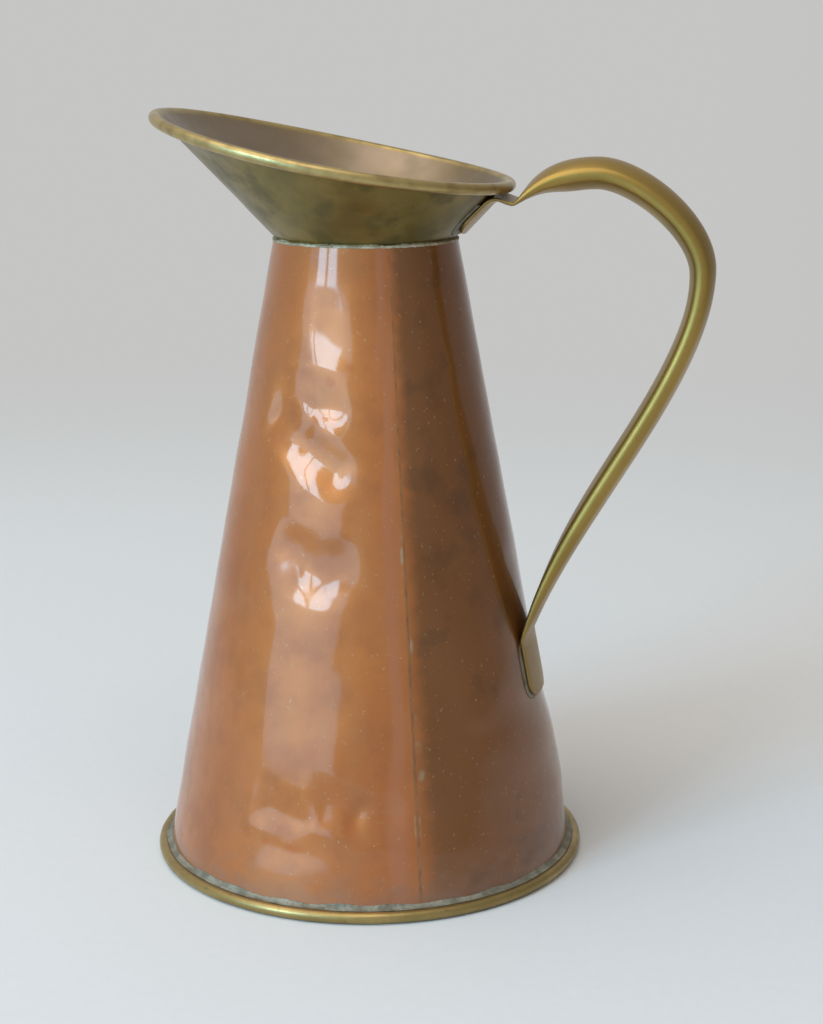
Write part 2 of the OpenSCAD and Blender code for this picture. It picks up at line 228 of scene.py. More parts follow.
def hollow(turn, z, at, wide, tall, depth, tilt=0.0):
    """A soft round hollow, wide and tall in millimetres, turned by tilt."""
    u = np.radians(wrap(turn - at[0])) * body_r(at[1])
    v = z - at[1]
    c, s = math.cos(math.radians(tilt)), math.sin(math.radians(tilt))
    x = (u * c + v * s) / wide
    y = (-u * s + v * c) / tall
    return -depth * np.exp(-(x * x + y * y))


def dents(turn, z):
    """How far the copper stands out from the true cone, in millimetres."""
    q = np.radians(turn)
    out = 0.20 * uneven(3, q, z, 5, 70) + 0.09 * uneven(4, q, z, 12, 34) + 0.025 * uneven(5, q, z, 34, 40)
    turn_on = turn + 1.3 * uneven(6, q, z, 16, 26)
    z_on = z + 1.5 * uneven(7, q, z, 16, 26)
    for ends, depth, low, high, reach in (
            (((-127, 170), (-112, 166)), 1.1, 8, 11, 4), (((-110, 166), (-92, 168)), 1.3, 8, 11, 4),
            (((-129, 164), (-107, 155)), 1.4, 9, 8, 4), (((-108, 155), (-87, 144)), 1.25, 10, 9, 5),
            (((-114, 121), (-98, 117)), 1.3, 14, 11, 5), (((-101, 112), (-85, 119)), 1.0, 12, 9, 5),
            (((-113, 36), (-98, 32)), 1.2, 9, 10, 4), (((-95, 38), (-80, 34)), 1.0, 8, 9, 4),
            (((-84, 31), (-70, 35)), 0.9, 8, 8, 4)):
        out = out + 1.25 * crease(turn_on, z_on, ends, depth, low, high, reach)
    for at, wide, tall, depth, tilt in (
            ((-99, 192), 5.5, 12, 0.6, 6), ((-104, 106), 12, 7, 0.7, 20),
            ((-46, 112), 16, 15, 1.4, 20), ((-52, 62), 12, 30, 1.1, 8), ((-104, 22), 12, 6, 0.8, 0),
            ((-90, 78), 9, 16, 0.45, -15), ((-128, 96), 10, 7, 0.5, 15), ((150, 120), 16, 9, 0.9, 20)):
        out = out + hollow(turn_on, z_on, at, wide, tall, depth, tilt)
    # the copper bulges below the handle
    side = smooth((wrap(turn - 15) + 55) / 35) * smooth((55 - wrap(turn - 15)) / 35)
    bulge = 1.6 * side * smooth((z - 6) / 22) * smooth((64 - z) / 22)
    # the brazed seam stands up as a low ridge
    seam = np.radians(wrap(turn - SEAM_AT)) * body_r(z)
    out = out + 0.5 * np.exp(-np.abs(seam) / 11)
    # the ends are held by the lip, the foot and the strap of the handle
    hold = smooth((216 - z) / 14) * smooth((z - 8) / 14)
    strap = np.hypot(wrap(turn + 2.5) * 1.1 / 17, (z - 70) / 26)
    return out * hold * smooth((strap - 0.9) / 0.8) + bulge


def body_rings(angles):
    z = np.linspace(FOOT_Z, NECK_HEIGHT, 281)[None, :]
    turn = angles[:, None]
    out = dents(turn, z)
    outer = spin(np.radians(turn), body_r(z) + out, z)
    inner = spin(np.radians(turn), body_r(z) - COPPER_ACROSS + out, z)
    return np.concatenate([outer, inner[:, ::-1]], axis=1)


def body_marks(made, rings):
    """Masks for the copper: its browner right part, partly tarnish and partly painted shade,
    the salmon stripe beside the seam, stains, pale residue and the dull zone at the foot."""
    flat = rings.reshape(-1, 3)
    turn = np.degrees(np.arctan2(flat[:, 1], flat[:, 0]))
    z = flat[:, 2]
    q = np.radians(turn)
    ragged = uneven(11, q, z, 40, 9, 60)
    # partly tarnish, partly painted shade: the copper right of the seam is made darker, fading out round the back
    brown_and_shade = smooth((turn - SEAM_AT + 1.5) / 8 + 0.10 * ragged) * smooth((70 - turn) / 60)
    mark(made, "brown_and_shade", brown_and_shade)
    upright = uneven(12, q, z, 60, 60, 50)
    mark(made, "salmon", smooth(1.3 - np.abs(turn + 70.5) / 3.2 + 0.5 * upright))
    stain = 0 * z
    for at, height, size in ((-63.5, 196, 1.5), (-87, 181, 1.6), (-138, 130, 2.2), (-101, 22, 3.5),
                             (-110, 23, 2.0), (-150, 166, 3.2), (-147, 118, 3.6), (-96, 176, 2.4), (-84, 30, 2.6),
                             (-120, 70, 1.5), (60, 150, 1.8), (120, 90, 2.2), (165, 60, 2.0), (20, 120, 1.4)):
        away = np.hypot(np.radians(wrap(turn - at)) * body_r(height), (z - height) * 1.2) / size
        stain = np.maximum(stain, smooth(1.25 - away + 0.35 * ragged))
    mark(made, "stain", stain)
    pale = 0 * z
    for at, height, wide, tall in ((-63.6, 60, 1.6, 5), (-62.8, 47, 1.2, 2), (-64.4, 92, 0.8, 6),
                                   (-65.6, 120, 0.7, 8), (-81, 8.5, 4, 1.6), (-65, 30, 0.8, 6)):
        away = np.hypot(np.radians(wrap(turn - at)) * body_r(height) / wide, (z - height) / tall)
        pale = np.maximum(pale, smooth(1.2 - away + 0.5 * ragged))
    mark(made, "pale", pale * smooth(0.5 + ragged))
    mark(made, "dull", smooth((17 - z) / 15 + 0.25 * ragged))


def make_body(copper, tinned, seam_metal):
    half = SEAM_SPREAD / 2
    rings = body_rings(np.linspace(SEAM_AT + half, SEAM_AT + 360 - half, 541))
    n, m = rings.shape[:2]
    faces = skin_faces(n, m, False)
    walls = (n - 1) * m
    column = np.arange(walls) % m
    inside = np.concatenate([(column >= m // 2), np.zeros(len(faces) - walls, dtype=bool)])
    made = piece("body_sheet", rings, faces, "body", [copper, tinned], inside.astype(int))
    body_marks(made, rings)
    rings = body_rings(np.linspace(SEAM_AT - half, SEAM_AT + half, 4))
    faces = skin_faces(*rings.shape[:2], False)
    piece("body_seam_braze", rings, faces, "body_seam", [seam_metal])


# ---------------------------------------------------------------------------
# The lip

def rim_r(q):
    back_x = lip_r(NECK_HEIGHT + RIM_BACK)
    spout_x = -lip_r(NECK_HEIGHT + RIM_SPOUT)
    back_rise = (RIM_BACK - RIM_SIDE) / back_x
    spout_rise = (RIM_SPOUT - RIM_SIDE) / spout_x
    bend = (back_rise - spout_rise) / (back_x - spout_x)
    tilt = back_rise - bend * back_x
    a = RIM_SIDE - (CORNER_Z - NECK_HEIGHT) + CORNER_R / LIP_SLOPE
    b = 1 / LIP_SLOPE - tilt * np.cos(q)
    return 2 * a / (b + np.sqrt(b * b - 4 * bend * np.cos(q) ** 2 * a))


def rim_point(q):
    return spin(q, rim_r(q), CORNER_Z + (rim_r(q) - CORNER_R) / LIP_SLOPE)


def rim_out(q):
    return np.stack([np.cos(q) * LIP_OUT[0], np.sin(q) * LIP_OUT[0], LIP_OUT[1] + 0 * q], axis=-1)


def rim_up(q):
    step = math.radians(0.5)
    return unit(np.cross(rim_out(q), rim_point(q + step) - rim_point(q - step)))


def lip_rings(q):
    """Rings across the lip's sheet, and masks for its bead and its inside."""
    point, out, up = rim_point(q), rim_out(q), rim_up(q)
    turns = np.radians(np.linspace(180, RIM_ROLL_END, 27))

    def face(corner_r, corner_z, roll):
        start = spin(q, corner_r + SLOPE * LIP_COLLAR, CORNER_Z - LIP_COLLAR)
        corner = spin(q, corner_r, corner_z)
        edge = point + (RIM_IN - roll) * out
        rows = [start]
        for t in (-1.0, -0.6, -0.2, 0.2, 0.6, 1.0):
            below = corner + (start - corner) * 0.16
            above = corner + 1.6 * unit(edge - corner)
            s = (t + 1) / 2
            rows.append((1 - s) ** 2 * below + 2 * s * (1 - s) * corner + s * s * above)
        above = rows[-1]
        for s in np.linspace(0, 1, 25)[1:-1]:
            swell = 0.28 * uneven(21, q, s * 30, 7, 30) + 0.08 * uneven(22, q, s * 30, 24, 12)
            from_strap = np.abs(np.remainder(q + math.pi, 2 * math.pi) - math.pi)
            hold = np.sin(math.pi * s) * smooth((from_strap - 0.4) / 0.4)
            rows.append(above + (edge - above) * s + (swell * hold)[:, None] * out)
        for t in turns:
            rows.append(point + (RIM_IN + roll * math.cos(t)) * out + roll * math.sin(t) * up)
        return rows

    inner_z = CORNER_Z + LIP_SHEET * math.tan((LIP_FLARE + LEAN) / 2)
    outside = face(CORNER_R, CORNER_Z, RIM_IN)
    inside = face(CORNER_R - LIP_SHEET / math.cos(LEAN), inner_z, RIM_OUT)
    count = len(outside)
    bead = np.zeros(count)
    bead[-len(turns):] = 1.0
    masks = np.concatenate([bead, bead[::-1]])
    within = np.concatenate([np.zeros(count), 1.0 - bead[::-1]])
    rings = np.stack(outside + inside[::-1], axis=1)
    return rings, masks, within


def make_lip(metal, seam_metal):
    half = math.radians(SEAM_SPREAD / 2)
    for name, start, end, steps, replaced, slot_name, material in (
            ("lip_sheet", half, 2 * math.pi - half, 481, "lip", "brass_lip", metal),
            ("lip_seam_braze", -half, half, 4, "lip_seam", "brazing", seam_metal)):
        rings, bead, within = lip_rings(np.linspace(start, end, steps))
        n, m = rings.shape[:2]
        made = piece(name, rings, skin_faces(n, m, False), replaced, [material])
        mark(made, "bead", np.tile(bead, n))
        mark(made, "within", np.tile(within, n))


# ---------------------------------------------------------------------------
# The foot band and the solder lines

def foot_rings(q):
    turns = np.radians(np.linspace(-90, FOOT_ROLL_START, 33))
    worn = 0.05 * (1 - uneven(31, q, 0, 60, 10, 40))
    strip = body_r(FOOT_STRIP) - COPPER_ACROSS - GAP
    low = body_r(FOOT_SHEET) - COPPER_ACROSS - GAP
    corner = body_r(0) - COPPER_ACROSS - GAP - FOOT_SHEET
    first = [(strip - FOOT_SHEET, FOOT_STRIP), (corner, 0), (FOOT_ROLL_X - 2, 0)]
    second = [(strip, FOOT_STRIP), (low, FOOT_SHEET), (FOOT_ROLL_X - 2, FOOT_SHEET)]
    rows = [spin(q, r, z) for r, z in first]
    for t in turns:
        roll = FOOT_OUT - worn * smooth((t + 1.4) / 0.6)
        rows.append(spin(q, FOOT_ROLL_X + roll * np.cos(t), FOOT_OUT + roll * np.sin(t)))
    back = [spin(q, r, z) for r, z in second]
    back += [spin(q, FOOT_ROLL_X + FOOT_IN * np.cos(t), FOOT_OUT + FOOT_IN * np.sin(t)) for t in turns]
    return np.stack(rows + back[::-1], axis=1)


def make_foot(metal, seam_metal):
    half = SEAM_SPREAD / 2
    for name, start, end, steps, replaced, slot_name, material in (
            ("foot_band_roll", FOOT_SEAM_AT + half, FOOT_SEAM_AT + 360 - half, 721,
             "foot_band", "brass_foot", metal),
            ("foot_seam_braze", FOOT_SEAM_AT - half, FOOT_SEAM_AT + half, 4,
             "foot_seam", "brazing", seam_metal)):
        rings = foot_rings(np.radians(np.linspace(start, end, steps)))
        piece(name, rings, skin_faces(*rings.shape[:2], False), replaced, [material])


def make_foot_solder(metal):
    """The solder between the foot bead and the copper, rough and uneven."""
    q = np.linspace(0, 2 * math.pi, 1441)[:-1]
    bead = FOOT_OUT + 0.06
    rough = uneven(41, q, 0, 26, 10, 40)
    fine = uneven(42, q, 0, 200, 10, 80)
    top = FOOT_OUT + FOOT_FILLET + 0.45 * rough + 0.15 * fine
    thick = 0.25 + 0.04 * fine
    meet = np.radians(112 + 8 * rough + 3 * fine)
    rows = []
    for s in np.linspace(0, 1, 8):
        z = mix(FOOT_OUT, top, s)
        rows.append(spin(q, body_r(z) + GAP / 2, z))
    high = (body_r(top) + GAP / 2 + thick, top - 0.12)
    near = (FOOT_ROLL_X + bead * np.cos(meet), FOOT_OUT + bead * np.sin(meet))
    for k, s in enumerate(np.linspace(0, 1, 9)):
        bump = 0.07 * uneven(50 + k, q, 0, 160, 10, 50) * math.sin(math.pi * s)
        r = mix(high[0], near[0], s) - 0.25 * math.sin(math.pi * s) + bump
        z = mix(high[1], near[1], s) - 0.12 * math.sin(math.pi * s) + bump
        rows.append(spin(q, r, z))
    for s in np.linspace(0, 1, 8)[1:]:
        t = mix(meet, math.radians(178), s)
        rows.append(spin(q, FOOT_ROLL_X + bead * np.cos(t), FOOT_OUT + bead * np.sin(t)))
    rings = np.stack(rows, axis=1)
    piece("foot_solder_line", rings, skin_faces(*rings.shape[:2], True), "foot_solder", [metal])


def make_neck_solder(metal):
    """The solder line between the copper and the lip, thin and broken."""
    q = np.linspace(0, 2 * math.pi, 1441)[:-1]
    rough = uneven(61, q, 0, 22, 10, 40)
    fine = uneven(62, q, 0, 150, 10, 80)
    low = NECK_HEIGHT + GAP / 2
    lap = NECK_HEIGHT - 0.28 - 0.10 * np.abs(rough) - 0.08 * fine
    proud = 0.18 + 0.06 * rough + 0.04 * fine
    top = low + 0.75 + 0.25 * rough + 0.12 * fine
    rows = [
        spin(q, CORNER_R + GAP, low),
        spin(q, body_r(low) + GAP / 2, low),
        spin(q, body_r(lap) + GAP / 2, lap),
        spin(q, body_r(lap) + GAP + 0.4 * proud, lap + 0.15),
        spin(q, body_r(low) + proud, low - 0.05),
        spin(q, body_r(low) + proud + 0.1, low + 0.35),
        spin(q, mix(body_r(low), lip_r(top), 0.6) + proud * 0.9, mix(low, top, 0.62)),
        spin(q, lip_r(top) + GAP + 0.12, top - 0.05),
        spin(q, lip_r(top) + GAP, top),
        spin(q, lip_r(CORNER_Z) + GAP, CORNER_Z),
    ]
    rings = np.stack(rows, axis=1)
    piece("neck_solder_line", rings, skin_faces(*rings.shape[:2], True), "neck_solder", [metal])


# ---------------------------------------------------------------------------
# The handle

def bezier(a, b, c, d, t):
    return (1 - t) ** 3 * a + 3 * (1 - t) ** 2 * t * b + 3 * (1 - t) * t * t * c + t ** 3 * d


def strap_span(s):
    if s >= STRAP_CORNER:
        return STRAP_WIDTH
    return STRAP_WIDTH - 2 * STRAP_CORNER + 2 * math.sqrt(STRAP_CORNER ** 2 - (STRAP_CORNER - s) ** 2)


def strap_sag(width, r, lean):
    return width * width * math.cos(lean) / r / 8


def handle_rows():
    """Rows along the handle: x and z of its back, its width and depth, the
    radius of its sides and its bend round the lip or the body."""
    lift = FILM + GAP
    along = unit(np.array([SLOPE, -1.0]))
    rim = np.array([lip_r(NECK_HEIGHT + RIM_BACK), NECK_HEIGHT + RIM_BACK])
    crook = rim + RIM_IN * LIP_OUT + np.array([2.6, -RIM_OUT - CROOK_GAP])

    def on_lip(z):
        return np.array([lip_r(z), z]) + lift * LIP_OUT

    top_from = on_lip(CORNER_Z + 3)
    top_to = on_lip(crook[1] - 0.7)
    arch = np.array([ARCH_REACH, NECK_HEIGHT + ARCH_HEIGHT])
    bow = np.array([HANDLE_REACH, NECK_HEIGHT - BOW_DROP])
    low_from = np.array([body_r(HANDLE_FOOT), HANDLE_FOOT])
    low_from = low_from + (lift + GAP / 2 + STRAP_DEPTH) * np.array([math.cos(LEAN), math.sin(LEAN)])
    low_to = low_from + LOW_STRAP * along
    approach = np.array([math.sin(math.radians(21)), math.cos(math.radians(21))])
    rows = []
    length = np.linalg.norm(top_to - top_from)
    for s in (0, 0.12, 0.35, 0.7, 1.2, 1.8, 2.6, 3.6, 4.8, 6, 9, length):
        p = top_from + (top_to - top_from) * s / length
        bend = -strap_sag(strap_span(s), p[0], LIP_FLARE)
        rows.append((p[0], p[1], strap_span(s), STRAP_DEPTH, STRAP_SIDE, bend))
    for t in np.linspace(0, 1, 21)[1:]:
        p = bezier(top_to, top_to + 4.8 * LIP_UP, crook - np.array([3.0, 0]), crook, t)
        bend = -(1 - t) * strap_sag(STRAP_WIDTH, p[0], LIP_FLARE)
        rows.append((p[0], p[1], STRAP_WIDTH, STRAP_DEPTH, STRAP_SIDE, bend))
    for t in np.linspace(0, 1, 49)[1:]:
        p = bezier(crook, crook + np.array([2.4, 0]), arch - np.array([23.4, 0]), arch, t)
        wide = smooth(t / 0.9)
        rows.append((p[0], p[1], mix(STRAP_WIDTH, HANDLE_WIDTH, smooth(t)),
                     mix(STRAP_DEPTH, HANDLE_DEPTH, wide), mix(STRAP_SIDE, HANDLE_SIDE, wide), 0))

    def grip_depth(z):
        low = bow[1] - TAPER_DROP
        return mix(STEM_DEPTH, HANDLE_DEPTH, smooth((z - low) / (arch[1] - low)))

    for t in np.linspace(0, 1, 49)[1:]:
        p = bezier(arch, arch + np.array([15.7, 0]), bow + np.array([0, 18.2]), bow, t)
        rows.append((p[0], p[1], HANDLE_WIDTH, grip_depth(p[1]), HANDLE_SIDE, 0))
    for t in np.linspace(0, 1, 71)[1:]:
        p = bezier(bow, bow - np.array([0, 37.5]), low_from + 48 * approach, low_from, t)
        flat = max(0.0, 2 * t - 1) ** 2.6
        rows.append((p[0], p[1], mix(HANDLE_WIDTH, STRAP_WIDTH, flat),
                     mix(grip_depth(p[1]), STRAP_DEPTH, flat), mix(HANDLE_SIDE, STRAP_SIDE, flat),
                     flat * strap_sag(STRAP_WIDTH, p[0], LEAN)))
    for s in (LOW_STRAP - 3.5, 13, 9, 6, 4.8, 3.6, 2.6, 1.8, 1.2, 0.7, 0.35, 0.12, 0):
        p = low_to - s * along
        bend = strap_sag(strap_span(s), p[0], LEAN)
        rows.append((p[0], p[1], strap_span(s), STRAP_DEPTH, STRAP_SIDE, bend))
    return np.array([[float(v) for v in row] for row in rows]), bow, low_from


def handle_section(row, inset):
    """The outline of the tube from one edge of its seam round to the other."""
    _, _, width, depth, side, bend = row
    half = depth / 2
    side_x = width / 2 - side
    back_r = (side_x ** 2 - (half - side) ** 2) / (2 * (half - side)) + half
    turn = math.asin(side_x / (back_r - side))
    seam = math.asin(HANDLE_SEAM / 2 / (back_r - inset))

    def arc(x, y, r, first, last, steps):
        a = np.linspace(first, last, steps + 1)
        return np.stack([x + r * np.sin(a), y - r * np.cos(a)], axis=-1)

    points = np.concatenate([
        arc(0, back_r, back_r - inset, 0, turn, 8),
        arc(side_x, half, side - inset, turn, math.pi - turn, 18)[1:],
        arc(0, depth - back_r, back_r - inset, math.pi - turn, math.pi - seam, 7)[1:]])
    points = np.concatenate([points[:0:-1] * [-1, 1], points])
    points[:, 1] += bend * (2 * points[:, 0] / width) ** 2
    return points


def make_handle(metal):
    rows, bow, low_from = handle_rows()
    rings, wear, flat = [], [], []
    for i, row in enumerate(rows):
        before, after = rows[max(i - 1, 0)], rows[min(i + 1, len(rows) - 1)]
        run = unit(after[:2] - before[:2])
        turn = -math.radians(HANDLE_SKEW) * float(smooth((bow[1] - row[1]) / (bow[1] - low_from[1])))
        outer = handle_section(row, 0.0)
        section = np.concatenate([outer, handle_section(row, HANDLE_SHEET)[::-1]])
        x = row[0] + section[:, 1] * run[1]
        z = row[1] - section[:, 1] * run[0]
        y = section[:, 0]
        c, s = math.cos(turn), math.sin(turn)
        rings.append(np.stack([x * c - y * s, x * s + y * c, z], axis=-1))
        open_up = min(1.0, (row[3] - STRAP_DEPTH) / (STEM_DEPTH - STRAP_DEPTH))
        ridge = np.zeros(len(section))
        ridge[:len(outer)] = np.clip(1 - outer[:, 1] / row[3], 0, 1) * open_up
        wear.append(ridge)
        flat.append(np.full(len(section), 1 - open_up))
    rings = np.array(rings)
    made = piece("handle_tube", rings, skin_faces(*rings.shape[:2], False), "handle", [metal])
    mark(made, "worn", np.array(wear))
    mark(made, "flattened", np.array(flat))


# ---------------------------------------------------------------------------
# Materials

class Surface:
    """A node material on the Principled shader, built up call by call."""

    def __init__(self, name, **plain):
        self.material = bpy.data.materials.new(name)
        self.material.use_nodes = True
        self.tree = self.material.node_tree
        self.shader = self.tree.nodes["Principled BSDF"]
        self.place = self.tree.nodes.new("ShaderNodeTexCoord").outputs["Object"]
        for key, value in plain.items():
            self.shader.inputs[key.replace("_", " ")].default_value = value

    def put(self, socket, value):
        if isinstance(value, bpy.types.NodeSocket):
            self.tree.links.new(value, socket)
        else:
            socket.default_value = value

    def make(self, kind, inputs, **settings):
        node = self.tree.nodes.new("ShaderNode" + kind)
        for key, value in settings.items():
            setattr(node, key, value)
        for key, value in inputs.items():
            self.put(node.inputs[key], value)
        return node

    def noise(self, size, detail=4.0, stretch=(1, 1, 1), rough=0.55, shift=(0, 0, 0)):
        """Noise with features of about size millimetres."""
        place = self.make("Mapping", {"Vector": self.place, "Scale": stretch, "Location": shift}).outputs[0]
        inputs = {"Vector": place, "Scale": 1000.0 / size, "Detail": detail, "Roughness": rough}
        return self.make("TexNoise", inputs).outputs[0]

    def span(self, value, low, high, to_low=0.0, to_high=1.0):
        inputs = {0: value, 1: low, 2: high, 3: to_low, 4: to_high}
        return self.make("MapRange", inputs, interpolation_type="SMOOTHSTEP").outputs[0]

    def sum(self, a, b, how="ADD"):
        return self.make("Math", {0: a, 1: b}, operation=how).outputs[0]

    def blend(self, factor, a, b, how="MIX"):
        a = (*a, 1.0) if isinstance(a, tuple) else a
        b = (*b, 1.0) if isinstance(b, tuple) else b
        return self.make("Mix", {0: factor, 6: a, 7: b}, data_type="RGBA", blend_type=how).outputs[2]

    def mask(self, name):
        return self.make("Attribute", {}, attribute_name=name).outputs["Fac"]

    def share(self, value, part):
        """A mask's or a noise's value, weakened to a part of it."""
        return self.sum(self.mask(value) if isinstance(value, str) else value, part, "MULTIPLY")

    def finish(self, colour, roughness, bump, distance, strength=1.0, coat=False):
        self.put(self.shader.inputs["Base Color"], colour)
        self.put(self.shader.inputs["Roughness"], roughness)
        made = self.make("Bump", {"Height": bump, "Distance": distance * 0.001, "Strength": strength}).outputs[0]
        self.put(self.shader.inputs["Normal"], made)
        if coat:
            self.put(self.shader.inputs["Coat Normal"], made)
        return self.material


def copper_metal():
    s = Surface("old_copper", Metallic=0.6, Coat_Weight=0.9, Coat_Roughness=0.085, Coat_IOR=1.5)
    broad = s.noise(60, 3)
    mid = s.noise(14, 5)
    fine = s.noise(2.5, 4)
    streak = s.noise(9, 4, stretch=(1, 1, 0.06))
    colour = s.blend(s.span(broad, 0.35, 0.65), (0.47, 0.142, 0.024), (0.41, 0.114, 0.017))
    colour = s.blend(s.span(mid, 0.42, 0.68, 0.0, 0.6), colour, (0.33, 0.095, 0.017))
    colour = s.blend(s.span(streak, 0.40, 0.70, 0.0, 0.35), colour, (0.41, 0.145, 0.038))
    # painted shade mixed with tarnish: the right side of the copper is darkened to a deep brown
    colour = s.blend(s.share("brown_and_shade", 0.9), colour, (0.185, 0.064, 0.009))
    colour = s.blend(s.share("salmon", 0.6), colour, (0.43, 0.150, 0.062))
    # darker mottling on that right side, partly tarnish and partly painted shade
    dark_mottle_and_shade = s.span(s.noise(22, 6), 0.52, 0.66)
    dark_mottle_and_shade = s.sum(dark_mottle_and_shade, s.mask("brown_and_shade"), "MULTIPLY")
    colour = s.blend(s.share(dark_mottle_and_shade, 0.5), colour, (0.095, 0.035, 0.008))
    colour = s.blend(s.span(s.noise(1.3, 2), 0.66, 0.74, 0.0, 0.45), colour, (0.46, 0.30, 0.16))
    colour = s.blend(s.share("dull", 0.5), colour, (0.27, 0.145, 0.09))
    colour = s.blend(s.share("stain", 0.8), colour, (0.42, 0.105, 0.012))
    colour = s.blend(s.share("pale", 0.7), colour, (0.40, 0.33, 0.20))
    rough = s.span(mid, 0.3, 0.75, 0.42, 0.56)
    rough = s.sum(rough, s.share("pale", 0.25))
    bump = s.sum(s.share(mid, 0.8), s.share(fine, 0.2))
    return s.finish(colour, rough, bump, 0.10, 0.4, coat=True)


def tinned_metal(name):
    s = Surface(name, Metallic=0.85)
    broad = s.noise(25, 5)
    fine = s.noise(3, 5)
    colour = s.blend(s.span(broad, 0.35, 0.65), (0.40, 0.37, 0.33), (0.27, 0.235, 0.20))
    colour = s.blend(s.span(fine, 0.55, 0.75, 0.0, 0.6), colour, (0.20, 0.15, 0.11))
    return s.finish(colour, s.span(broad, 0.3, 0.7, 0.45, 0.62), fine, 0.15, 0.6)


def lip_metal():
    s = Surface("old_brass_lip", Metallic=0.9, Coat_Weight=0.3, Coat_Roughness=0.18)
    broad = s.noise(32, 4)
    blot = s.noise(11, 6)
    fine = s.noise(2.2, 5)
    colour = s.blend(s.span(broad, 0.36, 0.62), (0.135, 0.100, 0.024), (0.235, 0.168, 0.041))
    colour = s.blend(s.span(blot, 0.48, 0.66, 0.0, 0.7), colour, (0.105, 0.080, 0.021))
    colour = s.blend(s.span(fine, 0.58, 0.78, 0.0, 0.45), colour, (0.12, 0.085, 0.035))
    inside = s.blend(s.span(broad, 0.35, 0.65), (0.27, 0.20, 0.135), (0.215, 0.155, 0.085))
    colour = s.blend(s.mask("within"), colour, inside)
    golden = s.blend(s.span(s.noise(6, 4), 0.4, 0.7), (0.45, 0.325, 0.125), (0.32, 0.225, 0.083))
    colour = s.blend(s.mask("bead"), colour, golden)
    rough = s.sum(s.span(blot, 0.3, 0.7, 0.36, 0.52), s.share("bead", -0.06))
    return s.finish(colour, rough, s.sum(s.share(blot, 0.6), s.share(fine, 0.25)), 0.12, 0.55, coat=True)


def handle_metal():
    s = Surface("old_brass_handle", Metallic=0.9, Coat_Weight=0.25, Coat_Roughness=0.2)
    broad = s.noise(30, 3)
    fine = s.noise(1.8, 5)
    line = s.noise(1.6, 4, stretch=(0.3, 1, 0.3))
    colour = s.blend(s.span(broad, 0.36, 0.64), (0.345, 0.215, 0.046), (0.285, 0.176, 0.035))
    colour = s.blend(s.span(line, 0.45, 0.7, 0.0, 0.3), colour, (0.26, 0.16, 0.038))
    colour = s.blend(s.span(fine, 0.6, 0.8, 0.0, 0.5), colour, (0.18, 0.115, 0.04))
    colour = s.blend(s.span(s.mask("worn"), 0.3, 0.9, 0.0, 0.4), colour, (0.40, 0.26, 0.062))
    colour = s.blend(s.span(s.mask("flattened"), 0.3, 1.0, 0.0, 0.45), colour, (0.27, 0.165, 0.062))
    rough = s.sum(s.span(broad, 0.3, 0.7, 0.38, 0.48), s.share("worn", -0.04))
    return s.finish(colour, rough, s.sum(s.share(fine, 0.4), s.share(line, 0.4)), 0.08, 0.5)


def foot_metal():
    s = Surface("old_brass_foot", Metallic=0.9, Coat_Weight=0.2, Coat_Roughness=0.2)
    broad = s.noise(24, 4)
    fine = s.noise(1.8, 5)
    colour = s.blend(s.span(broad, 0.36, 0.64), (0.40, 0.285, 0.105), (0.30, 0.21, 0.072))
    colour = s.blend(s.span(fine, 0.55, 0.75, 0.0, 0.6), colour, (0.20, 0.14, 0.06))
    return s.finish(colour, s.span(broad, 0.3, 0.7, 0.34, 0.46), fine, 0.1, 0.6)


def solder_metal(name, pale, dark):
    s = Surface(name, Metallic=0.35)
    blot = s.noise(5.5, 6)
    fine = s.noise(0.9, 5)
    colour = s.blend(s.span(blot, 0.38, 0.62), pale, dark)
    colour = s.blend(s.span(fine, 0.56, 0.72, 0.0, 0.7), colour, (0.15, 0.11, 0.07))
    return s.finish(colour, s.span(fine, 0.3, 0.7, 0.5, 0.75), s.sum(blot, fine), 0.14, 0.5)


def braze_metal():
    s = Surface("brazed_joint", Metallic=0.7, Coat_Weight=1.0, Coat_Roughness=0.08, Coat_IOR=1.6)
    fine = s.noise(1.6, 5, stretch=(1, 1, 0.35))
    colour = s.blend(s.span(fine, 0.4, 0.65), (0.32, 0.122, 0.030), (0.24, 0.088, 0.020))
    return s.finish(colour, s.span(fine, 0.3, 0.7, 0.42, 0.56), fine, 0.15, 0.6)


def iron_metal():
    s = Surface("iron_wire", Metallic=0.9)
    fine = s.noise(1.5, 5)
    colour = s.blend(s.span(fine, 0.4, 0.65), (0.22, 0.21, 0.20), (0.16, 0.09, 0.05))
    return s.finish(colour, s.span(fine, 0.3, 0.7, 0.45, 0.7), fine, 0.1, 0.6)


def repaint(node, material):
    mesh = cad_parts[node].data
    if not mesh.materials:
        mesh.materials.append(material)
    for i in range(len(mesh.materials)):
        mesh.materials[i] = material


# ---------------------------------------------------------------------------
# Camera, floor and light

def make_camera():
    """The camera, as fitted to the outlines of the can in the photograph."""
    data = bpy.data.cameras.new("camera")
    data.sensor_fit = "VERTICAL"
    data.sensor_height = 36.0
    data.lens = 70.44
    data.clip_start = 0.01
    camera = bpy.data.objects.new("camera", data)
    bpy.context.scene.collection.objects.link(camera)
    around = math.radians(11.46)
    place = Vector((math.sin(around) * 0.6912, -math.cos(around) * 0.6912, 0.2871))
    turn = Matrix.Rotation(around - 0.0224, 4, "Z") @ Matrix.Rotation(math.pi / 2 - 0.2334, 4, "X")
    camera.matrix_world = Matrix.Translation(place) @ turn @ Matrix.Rotation(-0.0021, 4, "Z")
    bpy.context.scene.camera = camera


BACKDROP = (0.56, 0.56, 0.555, 1)
BACKDROP_RIGHT = (0.30, 0.30, 0.295, 1)


